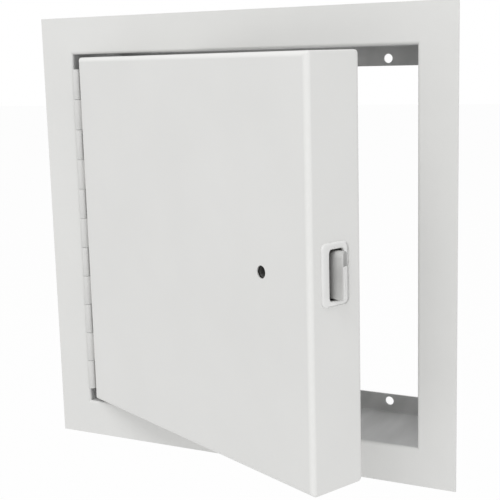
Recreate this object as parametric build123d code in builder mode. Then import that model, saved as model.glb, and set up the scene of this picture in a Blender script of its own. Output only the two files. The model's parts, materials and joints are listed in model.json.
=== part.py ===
from build123d import *
from math import atan, cos, radians, sin
import os

# Fire-rated access door for a wall, in millimetres.
# X is to the right, +Y goes into the wall and Z is up. The origin is the middle of the
# opening, on the wall's finished face, which is the back of the frame's flange.
# The leaf stands open by open_angle.

# Frame
opening = 311.0
flange_width = 31.2
frame_sheet = 1.5
frame_depth = 76.0
return_height = 16.0
inner_bend = 1.0
fixing_hole_d = 7.5
fixing_hole_inset = 10.0
fixing_spacing = 211.0

# Leaf
open_angle = 25.0
edge_gap = 2.6
leaf_thick = 50.8
leaf_sheet = 1.0
edge_bevel = 2.4
corner_radius = 1.2
face_bend = 4.0
back_bend = 6.0
back_rim = 7.0
lap = 6.5
lever_hole_gap = 0.6

# Continuous hinge
pin_d = 3.2
pin_chamfer = 0.4
pin_clearance = 0.05
hinge_sheet = 1.4
hinge_plate_width = 20.0
knuckle_pitch = 26.0
knuckle_count = 11
knuckle_gap = 0.3
knuckle_notch = 3.6

# Latch. Depths are from the plane of the leaf's face.
key_backset = 52.5
key_hole_d = 9.5
latch_depth = 24.5
latch_rise = 2.0
bezel_size = (24.5, 44.5)
bezel_shift = (-1.75, 0.5)
bezel_corner = 4.0
bezel_round = 0.9
bezel_proud = 1.6
mouth_size = (14.0, 36.0)
mouth_arch = 4.0
collar_wall = 1.0
collar_depth = 8.0
collar_gap = 0.2
case_sheet = 1.5
case_inside = (17.5, 40.0)
case_length = 74.0
case_flange = 9.0
guide_length = 4.2
bolt_thick = 9.7
bolt_height = 33.0
bolt_throw = 8.3
bolt_length = 28.0
bolt_tip = 1.4
bolt_ear_tip = 4.4
bolt_ear_height = 9.5
bolt_round = 3.5
bolt_clearance = 0.3
tail_thick = 4.0
tail_height = 10.5
tail_end = 7.4
tail_inset = 1.0
tenon_length = 8.0
tenon_height = 5.6
rivet_d = 3.0
crank_radius = 14.0
crank_thick = 4.0
crank_depth = 17.0
crank_square = 7.6
crank_hub_d = 16.0
crank_tip_d = 9.0
crank_pin_d = 4.0
crank_pin_past = 1.0
crank_pin_chamfer = 0.5
crank_slot = (4.3, 5.5)
crank_slot_corner = 0.5
key_turn = 45.0
spindle_d = 11.0
journal_d = 7.5
spindle_front = 2.4
running_clearance = 0.05
socket_across = 8.0
socket_depth = 9.0
bush_wall = 1.5
bush_flange = (18.0, 1.2)
bush_length = 3.7
clip_sheet = 0.9
clip_d = (6.2, 12.0)
clip_mouth = 5.0
spring_wire = 0.9
spring_d = 6.9
spring_turns = 8
lever_length = 44.0
lever_width = 12.0
lever_hub_d = 18.0
lever_sheet = 3.0
lever_stand_off = 1.3
lever_tab = 11.0
lever_bend = 5.0
lever_square = 5.6
lever_square_short = 0.2
screw_d = 3.9
screw_length = 8.0
screw_head = (8.0, 2.4)
screw_slot = (1.0, 1.0)

# Strike and the room cut for the latch in the wool
slot_room = (4.0, 5.0)
slot_corner = 2.0
strike_plate_thick = 3.0
strike_plate_size = (36.0, 84.0)
strike_plate_corner = 4.0
core_room = 1.0

# How far a cut goes past the surface that it opens
past = 1.0

# Worked out from the sizes above
half_opening = opening / 2
face_y = -frame_sheet
barrel_r = pin_d / 2 + pin_clearance + hinge_sheet
hinge_length = knuckle_count * knuckle_pitch
axis_x = -half_opening + barrel_r
leaf_height = opening - 2 * edge_gap
leaf_near = barrel_r
leaf_far = half_opening - edge_gap - axis_x
bevel = atan(edge_bevel / leaf_thick)
edge_mid = leaf_far - edge_bevel * latch_depth / leaf_thick
rim_depth = leaf_thick - back_rim
key_x = leaf_far - key_backset
case_end = leaf_far - case_length
case_front = latch_depth - case_inside[0] / 2 - case_sheet
cover_depth = latch_depth + case_inside[0] / 2
bolt_back = latch_depth + mouth_size[0] / 2 - bolt_clearance
bolt_front = bolt_back - bolt_thick
bolt_end = edge_mid + bezel_proud + bolt_throw
bolt_top = latch_rise + bolt_height / 2
crank_x = crank_radius * sin(radians(key_turn / 2))
crank_z = crank_radius * cos(radians(key_turn / 2))
slot_z = (crank_z + crank_radius) / 2
tail_depth = bolt_front + tail_inset + tail_thick / 2
tail_x = key_x + crank_x - tail_end
lever_depth = leaf_thick + lever_stand_off

os.makedirs("parts", exist_ok=True)

# The leaf's own coordinates start on the hinge axis, in the plane of the face:
# X along its width, Y through its thickness, Z up. This turns them to the open pose.
turn = radians(open_angle)
leaf_place = Location(
    Plane(origin=(axis_x, face_y, 0), x_dir=(cos(turn), -sin(turn), 0), z_dir=(0, 0, 1))
)
wall_place = Location((0, 0, 0))


def save(builder, name, place):
    """Write one finished piece at its place in the assembly."""
    piece = place * builder.part
    piece.label = name
    export_step(piece, f"parts/{name}.step")


# Frame: four lengths of one folded section, mitred at the corners. The latch side has a
# slot that the bolt enters when the leaf is shut, with a thicker plate behind it.
bolt_y = face_y + (bolt_front + bolt_back) / 2
slot_size = (bolt_thick + slot_room[0], bolt_height + slot_room[1])
strike_plane = Plane(origin=(half_opening, bolt_y, latch_rise), x_dir=(0, 1, 0), z_dir=(1, 0, 0))


def frame_member(name, outward, slot=False):
    """One side of the frame, outward from the middle of the opening."""
    outward = Vector(outward)
    along = outward.cross(Vector(0, 1, 0))
    with BuildPart() as member:
        # Flange, jamb and rear return, drawn as distance from the middle and depth.
        with BuildSketch(Plane(origin=(0, 0, 0), x_dir=outward, z_dir=along)):
            with BuildLine():
                FilletPolyline(
                    (half_opening + flange_width, face_y),
                    (half_opening, face_y),
                    (half_opening, frame_depth - 2 * frame_sheet),
                    (half_opening - return_height, frame_depth - 2 * frame_sheet),
                    radius=(inner_bend + frame_sheet, inner_bend),
                )
                offset(amount=frame_sheet, side=Side.RIGHT)
            make_face()
        extrude(amount=half_opening + flange_width, both=True)
        for end in (-1, 1):
            split(bisect_by=Plane(origin=(0, 0, 0), z_dir=outward + along * end), keep=Keep.TOP)
        hole_line = outward * (half_opening - fixing_hole_inset) + Vector(0, frame_depth, 0)
        with BuildSketch(Plane(origin=hole_line, x_dir=along, z_dir=(0, -1, 0))):
            with GridLocations(fixing_spacing, 1, 2, 1):
                Circle(fixing_hole_d / 2)
        extrude(amount=2 * frame_sheet + past, mode=Mode.SUBTRACT)
        if slot:
            with BuildSketch(strike_plane.offset(-past)):
                RectangleRounded(*slot_size, radius=slot_corner)
            extrude(amount=frame_sheet + 2 * past, mode=Mode.SUBTRACT)
    save(member, name, wall_place)


frame_member("frame_head", (0, 0, 1))
frame_member("frame_sill", (0, 0, -1))
frame_member("frame_hinge_jamb", (-1, 0, 0))
frame_member("frame_latch_jamb", (1, 0, 0), slot=True)

with BuildPart() as strike_plate:
    with BuildSketch(strike_plane.offset(frame_sheet)):
        RectangleRounded(*strike_plate_size, radius=strike_plate_corner)
        RectangleRounded(*slot_size, radius=slot_corner, mode=Mode.SUBTRACT)
    extrude(amount=strike_plate_thick)
save(strike_plate, "strike_plate", wall_place)


# Hinge: two plates whose knuckles take turns along one pin.

def hinge_half(side, first):
    """One plate with every second knuckle. Side is -1 on the frame and 1 on the leaf."""
    plate_x = side * (barrel_r - hinge_sheet / 2)
    with BuildPart() as half:
        with BuildSketch(Plane.XY.offset(-hinge_length / 2)):
            with Locations((plate_x, (knuckle_notch + hinge_plate_width) / 2)):
                Rectangle(hinge_sheet, hinge_plate_width - knuckle_notch)
        extrude(amount=hinge_length)
        for knuckle in range(first, knuckle_count, 2):
            low = knuckle * knuckle_pitch - hinge_length / 2 + knuckle_gap / 2
            with BuildSketch(Plane.XY.offset(low)):
                Circle(barrel_r)
                with Locations((plate_x, knuckle_notch / 2)):
                    Rectangle(hinge_sheet, knuckle_notch)
                Circle(pin_d / 2 + pin_clearance, mode=Mode.SUBTRACT)
            extrude(amount=knuckle_pitch - knuckle_gap)
    return half


axis_place = Location((axis_x, face_y, 0))
save(hinge_half(-1, 0), "hinge_frame_plate", axis_place)
save(hinge_half(1, 1), "hinge_leaf_plate", leaf_place)

with BuildPart() as hinge_pin:
    with BuildSketch(Plane.XY.offset(-hinge_length / 2)):
        Circle(pin_d / 2)
    extrude(amount=hinge_length)
    chamfer(hinge_pin.edges(), pin_chamfer)
save(hinge_pin, "hinge_pin", axis_place)


# Leaf: two folded pans round a slab of mineral wool.

def free_edge(depth):
    """Distance of the bevelled free edge from the hinge axis, at one depth."""
    return leaf_far - edge_bevel * depth / leaf_thick


def leaf_block(front, back, inset):
    """Plain block of the leaf between two depths, drawn in by inset on its four edges."""
    with BuildPart() as block:
        with BuildSketch(Plane.XY.offset(inset - leaf_height / 2)):
            Polygon(
                (leaf_near + inset, front),
                (free_edge(front) - inset, front),
                (free_edge(back) - inset, back),
                (leaf_near + inset, back),
                align=None,
            )
        extrude(amount=leaf_height - 2 * inset)
    return block.part


def leaf_body(inset, corner=0.0):
    """The closed leaf with its rounded edges, drawn in by inset on every side."""
    with BuildPart() as body:
        add(leaf_block(inset, leaf_thick - inset, inset))
        fillet(body.faces().sort_by(Axis.Y)[0].edges(), face_bend - inset)
        fillet(body.faces().sort_by(Axis.Y)[-1].edges(), back_bend - inset)
        if corner > 0:
            fillet(body.edges().filter_by(Axis.Y, tolerance=5), corner)
    return body.part


# Sketch planes: the latch mouth, square to the bolt's travel; the bevelled free edge and
# its inner face; the front, with the key hole at its origin; and the plan.
mouth_plane = Plane(origin=(edge_mid, latch_depth, latch_rise), x_dir=(0, 1, 0), z_dir=(1, 0, 0))
edge_plane = Plane(
    origin=(edge_mid, latch_depth, latch_rise),
    x_dir=(-sin(bevel), cos(bevel), 0),
    z_dir=(cos(bevel), sin(bevel), 0),
)
inner_edge_plane = edge_plane.offset(-leaf_sheet)
seam_plane = Plane(origin=(0, rim_depth, 0), x_dir=(1, 0, 0), z_dir=(0, 1, 0))
collar_size = (mouth_size[0] + 2 * collar_wall, mouth_size[1] + 2 * collar_wall)
cut_size = (collar_size[0] + 2 * collar_gap, collar_size[1] + 2 * collar_gap)
cut_reach = 12.0


def key_depth(depth):
    """Sketch plane across the spindle, facing the front, at one depth in the leaf."""
    return Plane(origin=(key_x, depth, 0), x_dir=(1, 0, 0), z_dir=(0, -1, 0))


def mouth_at(x):
    """Sketch plane square to the bolt's travel, at one distance from the hinge axis."""
    return mouth_plane.offset(x - edge_mid)


with BuildPart() as face_pan:
    add(leaf_body(0, corner_radius))
    add(leaf_body(leaf_sheet), mode=Mode.SUBTRACT)
    split(bisect_by=seam_plane, keep=Keep.BOTTOM)
    with BuildSketch(key_depth(0)):
        Circle(key_hole_d / 2)
    extrude(amount=-2 * leaf_sheet, mode=Mode.SUBTRACT)
    with BuildSketch(mouth_plane.offset(-cut_reach)):
        Rectangle(*cut_size)
    extrude(amount=2 * cut_reach, mode=Mode.SUBTRACT)
save(face_pan, "face_pan", leaf_place)

# The back pan's rim lies flush with the face pan, and its stepped lip laps inside it.
with BuildPart() as back_pan:
    add(leaf_body(0, corner_radius))
    add(leaf_body(leaf_sheet), mode=Mode.SUBTRACT)
    split(bisect_by=seam_plane, keep=Keep.TOP)
    add(leaf_block(rim_depth - lap, rim_depth + leaf_sheet, leaf_sheet))
    add(leaf_block(rim_depth - lap, rim_depth + leaf_sheet, 2 * leaf_sheet), mode=Mode.SUBTRACT)
    with BuildSketch(key_depth(leaf_thick)):
        Circle(journal_d / 2 + lever_hole_gap)
    extrude(amount=2 * leaf_sheet, mode=Mode.SUBTRACT)
save(back_pan, "back_pan", leaf_place)

with BuildPart() as insulation_core:
    add(leaf_block(leaf_sheet, leaf_thick - leaf_sheet, 2 * leaf_sheet))
    fillet(insulation_core.faces().sort_by(Axis.Y)[0].edges(), face_bend - leaf_sheet)
    fillet(insulation_core.faces().sort_by(Axis.Y)[-1].edges(), back_bend - leaf_sheet)
    pocket_back = cover_depth + case_sheet
    with BuildSketch(mouth_at(case_end - case_sheet)):
        with Locations(((pocket_back + case_front) / 2 - latch_depth, 0)):
            Rectangle(pocket_back - case_front, case_inside[1] + 2 * case_sheet)
    extrude(amount=case_length + 2 * case_sheet, mode=Mode.SUBTRACT)
    with BuildSketch(mouth_at(free_edge(leaf_thick) - leaf_sheet - 3 * case_sheet)):
        with Locations(((pocket_back + case_front) / 2 - latch_depth, 0)):
            Rectangle(
                pocket_back - case_front + 2 * core_room,
                case_inside[1] + 2 * case_flange + 2 * core_room,
            )
    extrude(amount=cut_reach, mode=Mode.SUBTRACT)
    with BuildSketch(key_depth(0)):
        Circle(bush_flange[0] / 2 + core_room)
    extrude(amount=-case_front, mode=Mode.SUBTRACT)
    with BuildSketch(key_depth(pocket_back)):
        Circle(journal_d / 2 + 2 * core_room)
    extrude(amount=-leaf_thick, mode=Mode.SUBTRACT)
save(insulation_core, "insulation_core", leaf_place)


# Latch case: folded round the bolt, closed by a cover and flanged at its mouth.

with BuildPart() as latch_case:
    with BuildSketch(mouth_at(case_end - case_sheet)):
        with Locations((-case_sheet / 2, 0)):
            Rectangle(case_inside[0] + case_sheet, case_inside[1] + 2 * case_sheet)
    extrude(amount=case_length + 2 * case_sheet)
    split(bisect_by=inner_edge_plane, keep=Keep.BOTTOM)
    with BuildSketch(inner_edge_plane):
        Rectangle(case_inside[0] + 2 * case_sheet, case_inside[1] + 2 * case_flange)
    extrude(amount=-case_sheet)
    with BuildSketch(mouth_at(case_end)):
        Rectangle(*case_inside)
    extrude(amount=case_length + 2 * case_sheet, mode=Mode.SUBTRACT)
    with BuildSketch(key_depth(case_front)):
        Circle(spindle_d / 2 + running_clearance + bush_wall)
    extrude(amount=-2 * case_sheet, mode=Mode.SUBTRACT)
    with BuildSketch(mouth_at(case_end)):
        with Locations((tail_depth - latch_depth, slot_z - latch_rise)):
            Circle(tail_thick / 2)
    extrude(amount=guide_length)
save(latch_case, "latch_case", leaf_place)

with BuildPart() as latch_case_cover:
    cover_length = free_edge(cover_depth + case_sheet) - leaf_sheet - 2 * case_sheet - case_end
    with BuildSketch(key_depth(cover_depth)):
        with Locations((case_end - case_sheet - key_x, latch_rise)):
            Rectangle(
                cover_length,
                case_inside[1] + 2 * case_sheet,
                align=(Align.MIN, Align.CENTER),
            )
        Circle(journal_d / 2 + running_clearance, mode=Mode.SUBTRACT)
    extrude(amount=-case_sheet)
save(latch_case_cover, "latch_case_cover", leaf_place)

with BuildPart() as latch_bezel:
    with BuildSketch(edge_plane):
        with Locations(bezel_shift):
            RectangleRounded(*bezel_size, radius=bezel_corner)
    extrude(amount=bezel_proud)
    outward = Axis(edge_plane.origin, edge_plane.z_dir)
    fillet(latch_bezel.faces().sort_by(outward)[-1].edges(), bezel_round)
    with BuildSketch(mouth_at(edge_mid - collar_depth)):
        Rectangle(*collar_size)
    extrude(amount=collar_depth + bezel_proud / 2)
    with BuildSketch(mouth_at(edge_mid - collar_depth)) as mouth:
        Rectangle(*mouth_size)
        fillet(mouth.vertices().group_by(Axis.Z)[-1], mouth_arch)
    extrude(amount=collar_depth + 4 * bezel_proud, mode=Mode.SUBTRACT)
save(latch_bezel, "latch_bezel", leaf_place)

with BuildPart() as key_bush:
    with BuildSketch(key_depth(case_front - bush_flange[1])):
        Circle(bush_flange[0] / 2)
    extrude(amount=-bush_flange[1])
    with BuildSketch(key_depth(case_front)):
        Circle(spindle_d / 2 + running_clearance + bush_wall)
    extrude(amount=bush_flange[1] - bush_length)
    with BuildSketch(key_depth(case_front - bush_flange[1])):
        Circle(spindle_d / 2 + running_clearance)
    extrude(amount=-bush_length, mode=Mode.SUBTRACT)
save(key_bush, "key_bush", leaf_place)


# Key spindle, with the crank that draws the bolt and the release lever at the back.

clip_depth = cover_depth - 1.5 * clip_sheet

with BuildPart() as key_spindle:
    with BuildSketch(key_depth(spindle_front)):
        Circle(spindle_d / 2)
    extrude(amount=spindle_front - crank_depth)
    with BuildSketch(key_depth(crank_depth)):
        Rectangle(crank_square, crank_square)
    extrude(amount=-crank_thick)
    with BuildSketch(key_depth(crank_depth + crank_thick)):
        Circle(journal_d / 2)
    extrude(amount=crank_depth + crank_thick - lever_depth)
    with BuildSketch(key_depth(lever_depth)):
        Rectangle(lever_square, lever_square)
    extrude(amount=lever_square_short - lever_sheet)
    with BuildSketch(key_depth(clip_depth)):
        Circle(journal_d)
        Circle(clip_d[0] / 2, mode=Mode.SUBTRACT)
    extrude(amount=-clip_sheet, mode=Mode.SUBTRACT)
    with BuildSketch(key_depth(spindle_front)):
        RegularPolygon(socket_across / 2, 6, major_radius=False)
    extrude(amount=-socket_depth, mode=Mode.SUBTRACT)
    with BuildSketch(key_depth(lever_depth + lever_sheet)):
        Circle(screw_d / 2)
    extrude(amount=screw_length, mode=Mode.SUBTRACT)
save(key_spindle, "key_spindle", leaf_place)

with BuildPart() as spindle_crank:
    with BuildSketch(key_depth(crank_depth)):
        Circle(crank_hub_d / 2)
        with Locations((crank_x, crank_z)):
            Circle(crank_tip_d / 2)
        make_hull()
        Rectangle(crank_square, crank_square, mode=Mode.SUBTRACT)
        with Locations((crank_x, crank_z)):
            Circle(crank_pin_d / 2, mode=Mode.SUBTRACT)
    extrude(amount=-crank_thick)
save(spindle_crank, "spindle_crank", leaf_place)

with BuildPart() as crank_pin:
    with BuildSketch(key_depth(crank_depth)):
        with Locations((crank_x, crank_z)):
            Circle(crank_pin_d / 2)
    extrude(amount=crank_depth - tail_depth - tail_thick / 2 - crank_pin_past)
    chamfer(crank_pin.faces().sort_by(Axis.Y)[-1].edges(), crank_pin_chamfer)
save(crank_pin, "crank_pin", leaf_place)

with BuildPart() as spindle_clip:
    with BuildSketch(key_depth(clip_depth)):
        Circle(clip_d[1] / 2)
        Circle(clip_d[0] / 2, mode=Mode.SUBTRACT)
        with Locations((0, -clip_d[1] / 2)):
            Rectangle(clip_mouth, clip_d[1], mode=Mode.SUBTRACT)
    extrude(amount=-clip_sheet)
save(spindle_clip, "spindle_clip", leaf_place)

with BuildPart() as release_lever:
    with BuildSketch(Plane(origin=(key_x, 0, 0), x_dir=(0, 1, 0), z_dir=(1, 0, 0))):
        with BuildLine():
            FilletPolyline(
                (lever_depth, 0),
                (lever_depth, -lever_length),
                (lever_depth + lever_tab, -lever_length),
                radius=lever_bend,
            )
            offset(amount=lever_sheet, side=Side.LEFT)
        make_face()
    extrude(amount=lever_width / 2, both=True)
    tip = release_lever.faces().sort_by(Axis.Y)[-1]
    fillet(tip.edges().filter_by(Axis.Z), lever_width / 3)
    with BuildSketch(key_depth(lever_depth)):
        Circle(lever_hub_d / 2)
    extrude(amount=-lever_sheet)
    with BuildSketch(key_depth(lever_depth)):
        Rectangle(lever_square, lever_square)
    extrude(amount=-lever_sheet, mode=Mode.SUBTRACT)
save(release_lever, "release_lever", leaf_place)

with BuildPart() as lever_screw:
    with BuildSketch(key_depth(lever_depth + lever_sheet)):
        Circle(screw_d / 2)
    extrude(amount=screw_length)
    with BuildSketch(key_depth(lever_depth + lever_sheet)):
        Circle(screw_head[0] / 2)
    extrude(amount=-screw_head[1])
    rim = lever_screw.faces().sort_by(Axis.Y)[-1].edges()
    fillet(rim, screw_head[1] / 2)
    with BuildSketch(key_depth(lever_depth + lever_sheet + screw_head[1])):
        Rectangle(screw_slot[0], screw_head[0])
    extrude(amount=screw_slot[1], mode=Mode.SUBTRACT)
save(lever_screw, "lever_screw", leaf_place)


# Bolt: a nose with a flat front and a slanted back, and a slotted tail for the crank pin.
# The nose's top ear is slanted less than the rest.
tenon_z = slot_z - tail_height / 2 + tenon_height / 2
rivet_x = bolt_end - bolt_length + tenon_length / 2
slant_start = edge_mid + 2 * bezel_proud
bolt_bands = (
    (bolt_top - bolt_height, bolt_height - bolt_ear_height, bolt_tip),
    (bolt_top - bolt_ear_height, bolt_ear_height, bolt_ear_tip),
)

with BuildPart() as latch_bolt:
    with BuildSketch(mouth_at(bolt_end - bolt_length)) as nose:
        with Locations(((bolt_front + bolt_back) / 2 - latch_depth, 0)):
            Rectangle(bolt_thick, bolt_height)
        fillet(nose.vertices().group_by(Axis.Z)[-1], bolt_round)
    extrude(amount=bolt_length)
    for low, height, tip in bolt_bands:
        with BuildSketch(Plane.XY.offset(low)):
            Polygon(
                (bolt_end, bolt_front + tip),
                (slant_start, bolt_back),
                (bolt_end, bolt_back),
                align=None,
            )
        extrude(amount=height, mode=Mode.SUBTRACT)
    with BuildSketch(mouth_at(bolt_end - bolt_length)):
        with Locations((tail_depth - latch_depth, tenon_z - latch_rise)):
            Rectangle(tail_thick, tenon_height)
    extrude(amount=tenon_length, mode=Mode.SUBTRACT)
    with BuildSketch(key_depth(bolt_front)):
        with Locations((rivet_x - key_x, tenon_z)):
            Circle(rivet_d / 2)
    extrude(amount=-bolt_thick, mode=Mode.SUBTRACT)
save(latch_bolt, "latch_bolt", leaf_place)

with BuildPart() as bolt_tail:
    with BuildSketch(key_depth(tail_depth - tail_thick / 2)):
        with Locations((tail_x - key_x, slot_z)):
            Rectangle(
                bolt_end - bolt_length - tail_x,
                tail_height,
                align=(Align.MIN, Align.CENTER),
            )
        with Locations((rivet_x - key_x, tenon_z)):
            Rectangle(tenon_length, tenon_height)
            Circle(rivet_d / 2, mode=Mode.SUBTRACT)
        with Locations((crank_x, slot_z)):
            RectangleRounded(*crank_slot, radius=crank_slot_corner, mode=Mode.SUBTRACT)
    extrude(amount=-tail_thick)
    with BuildSketch(mouth_at(tail_x)):
        with Locations((tail_depth - latch_depth, slot_z - latch_rise)):
            Circle(tail_thick / 2)
    extrude(amount=-tail_thick)
save(bolt_tail, "bolt_tail", leaf_place)

with BuildPart() as tail_rivet:
    with BuildSketch(key_depth(bolt_front)):
        with Locations((rivet_x - key_x, tenon_z)):
            Circle(rivet_d / 2)
    extrude(amount=-bolt_thick)
save(tail_rivet, "tail_rivet", leaf_place)

# The spring is pressed between the case's end wall and the tail, and throws the bolt.
with BuildPart() as bolt_spring:
    coil_length = tail_x - case_end - spring_wire
    coil_r = (spring_d - spring_wire) / 2
    with BuildLine():
        coil = Helix(
            pitch=coil_length / spring_turns,
            height=coil_length,
            radius=coil_r,
            center=(case_end + spring_wire / 2, tail_depth, slot_z),
            direction=(1, 0, 0),
        )
    with BuildSketch(Plane(origin=coil @ 0, z_dir=coil % 0)):
        Circle(spring_wire / 2)
    sweep(path=coil, is_frenet=True)
save(bolt_spring, "bolt_spring", leaf_place)
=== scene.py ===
import json
from math import atan, cos, pi, radians, sin

import bmesh
import bpy
from bpy.props import FloatProperty, FloatVectorProperty, IntProperty, PointerProperty
from mathutils import Matrix, Vector

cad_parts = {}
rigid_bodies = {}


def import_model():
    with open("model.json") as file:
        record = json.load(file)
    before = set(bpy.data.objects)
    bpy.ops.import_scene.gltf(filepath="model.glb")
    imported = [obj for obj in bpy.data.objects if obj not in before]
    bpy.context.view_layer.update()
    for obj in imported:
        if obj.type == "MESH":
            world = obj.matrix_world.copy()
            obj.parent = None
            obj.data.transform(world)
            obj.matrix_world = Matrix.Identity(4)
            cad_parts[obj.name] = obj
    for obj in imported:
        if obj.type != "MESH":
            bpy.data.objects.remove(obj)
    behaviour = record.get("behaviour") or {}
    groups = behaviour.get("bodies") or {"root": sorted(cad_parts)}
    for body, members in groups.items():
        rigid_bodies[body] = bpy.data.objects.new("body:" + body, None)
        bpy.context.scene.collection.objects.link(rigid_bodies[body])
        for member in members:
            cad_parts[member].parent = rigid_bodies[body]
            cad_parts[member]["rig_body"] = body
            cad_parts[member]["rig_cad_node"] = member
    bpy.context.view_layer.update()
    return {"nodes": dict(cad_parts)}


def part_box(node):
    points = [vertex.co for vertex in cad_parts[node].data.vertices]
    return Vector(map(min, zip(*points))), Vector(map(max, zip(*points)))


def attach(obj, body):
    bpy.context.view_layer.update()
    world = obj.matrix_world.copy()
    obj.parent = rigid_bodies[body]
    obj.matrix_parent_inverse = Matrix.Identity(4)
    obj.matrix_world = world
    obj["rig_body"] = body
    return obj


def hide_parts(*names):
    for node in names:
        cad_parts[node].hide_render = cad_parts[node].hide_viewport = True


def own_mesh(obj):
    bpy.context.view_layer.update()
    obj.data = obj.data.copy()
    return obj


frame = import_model()

bl_info = {
    "name": "Fire-rated access door",
    "version": (1, 0, 0),
    "blender": (4, 5, 0),
    "location": "3D View > Sidebar > Access door",
    "description": "Dresses the steel access door: paint, hinge, latch, bolt and key spindle",
    "category": "Object",
}

# Places that come from the loaded model. Leaf coordinates start on the hinge axis in the
# plane of the leaf's face: X along its width, Y through its thickness, Z up.
PIN_LOW, PIN_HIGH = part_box("hinge_pin")
HINGE_AXIS = (PIN_LOW + PIN_HIGH) / 2
HINGE_LENGTH = PIN_HIGH.z - PIN_LOW.z
FLANGE_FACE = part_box("frame_head")[0].y
FRAME_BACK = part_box("frame_head")[1].y
OPEN_ANGLE = radians(25)
HINGE_PLACE = Matrix.Translation((HINGE_AXIS.x, HINGE_AXIS.y, 0))
LEAF_PLACE = HINGE_PLACE @ Matrix.Rotation(-OPEN_ANGLE, 4, "Z")


def leaf_points(name):
    """Vertices of a loaded piece, in leaf coordinates."""
    to_leaf = LEAF_PLACE.inverted()
    return [to_leaf @ corner.co for corner in frame["nodes"][name].data.vertices]


def box_of(points):
    """Lowest and highest corner of some points."""
    return Vector(map(min, zip(*points))), Vector(map(max, zip(*points)))


def leaf_box(name):
    """Lowest and highest corner of a loaded piece, in leaf coordinates."""
    return box_of(leaf_points(name))


LEAF_THICK = leaf_box("back_pan")[1].y
LEAF_FAR = leaf_box("face_pan")[1].x

MERGE = 0.000002  # Vertices of a finished piece that are closer than this become one
SAME = 0.000001  # Places that are closer than this count as the same
OVERSHOOT = 0.002  # How far a cutter reaches past what it cuts
WHITE = (1, 1, 1, 1)
# Where each softbox stands, facing the origin, and the length of its side
SOFTBOXES = {"key": ((-0.3, -2.7, 4.0), 3.0), "fill": ((1.8, -0.5, 0.2), 1.2)}


def length(name, default, description):
    """A size in metres, shown in the panel."""
    return FloatProperty(
        name=name, description=description, default=default, unit="LENGTH", subtype="DISTANCE"
    )


def colour(name, default, description):
    """A finish colour, shown in the panel."""
    return FloatVectorProperty(
        name=name, description=description, default=default, subtype="COLOR", size=3, min=0, max=1
    )


class AccessDoorHingeSizes(bpy.types.PropertyGroup):
    """Sizes of the continuous hinge."""

    sheet: length("Sheet", 0.0014, "Thickness of the hinge plates")
    barrel_radius: length("Barrel radius", 0.00305, "Outer radius of the rolled knuckles")
    plate_width: length("Plate width", 0.020, "Width of each hinge plate from the pin's axis")
    notch: length("Notch", 0.0036, "Depth of the notches that the other plate's knuckles fill")
    pitch: length("Knuckle pitch", 0.026, "Distance from one knuckle to the next")
    gap: length("Knuckle gap", 0.0003, "Clearance between two knuckles")
    count: IntProperty(name="Knuckles", description="Knuckles on both plates together", default=11)
    pin_diameter: length("Pin", 0.0032, "Diameter of the hinge pin")


class AccessDoorLatchSizes(bpy.types.PropertyGroup):
    """Sizes of the bezel, bolt and key spindle."""

    leaf_thick: length("Leaf thickness", LEAF_THICK, "Thickness of the insulated leaf")
    leaf_far: length("Leaf width", LEAF_FAR, "Hinge axis to the front corner of the free edge")
    edge_bevel: length("Edge bevel", 0.0024, "How far the free edge leans back over its depth")
    depth: length("Latch depth", 0.0245, "Middle of the latch behind the leaf's face")
    rise: length("Latch height", 0.002, "Height of the latch above the middle of the leaf")
    bezel_width: length("Bezel width", 0.0245, "Width of the bezel")
    bezel_height: length("Bezel height", 0.0445, "Height of the bezel")
    bezel_proud: length("Bezel proud", 0.0016, "How far the bezel stands out of the free edge")
    bezel_corner: length("Bezel corner", 0.004, "Corner radius of the bezel")
    bezel_forward: length("Bezel forward", 0.00175, "Bezel's middle forward of the mouth's middle")
    bezel_up: length("Bezel up", 0.0005, "Bezel's middle above the mouth's middle")
    mouth_width: length("Mouth width", 0.014, "Width of the bolt's opening")
    mouth_height: length("Mouth height", 0.036, "Height of the bolt's opening")
    collar_wall: length("Collar wall", 0.001, "Wall of the collar behind the bezel")
    collar_depth: length("Collar depth", 0.008, "Depth of the collar behind the bezel")
    bolt_thick: length("Bolt thickness", 0.0097, "Thickness of the latch bolt")
    bolt_height: length("Bolt height", 0.033, "Height of the latch bolt")
    bolt_length: length("Bolt length", 0.028, "Length of the latch bolt's nose")
    bolt_throw: length("Bolt throw", 0.0083, "How far the bolt stands out of the bezel")
    bolt_round: length("Bolt rounding", 0.0035, "Radius of the bolt's upper corners")
    bolt_tip: length("Bolt tip", 0.0014, "Flat at the end of the slanted part")
    ear_tip: length("Ear tip", 0.0044, "Flat at the end of the bolt's top ear")
    ear_height: length("Ear height", 0.0095, "Height of the bolt's top ear")
    bolt_clearance: length("Bolt clearance", 0.0003, "Gap between the bolt and its mouth")
    spring_wire: length("Spring wire", 0.0009, "Wire of the bolt's spring")
    spring_turns: IntProperty(name="Spring turns", description="Turns of the spring", default=8)


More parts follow.
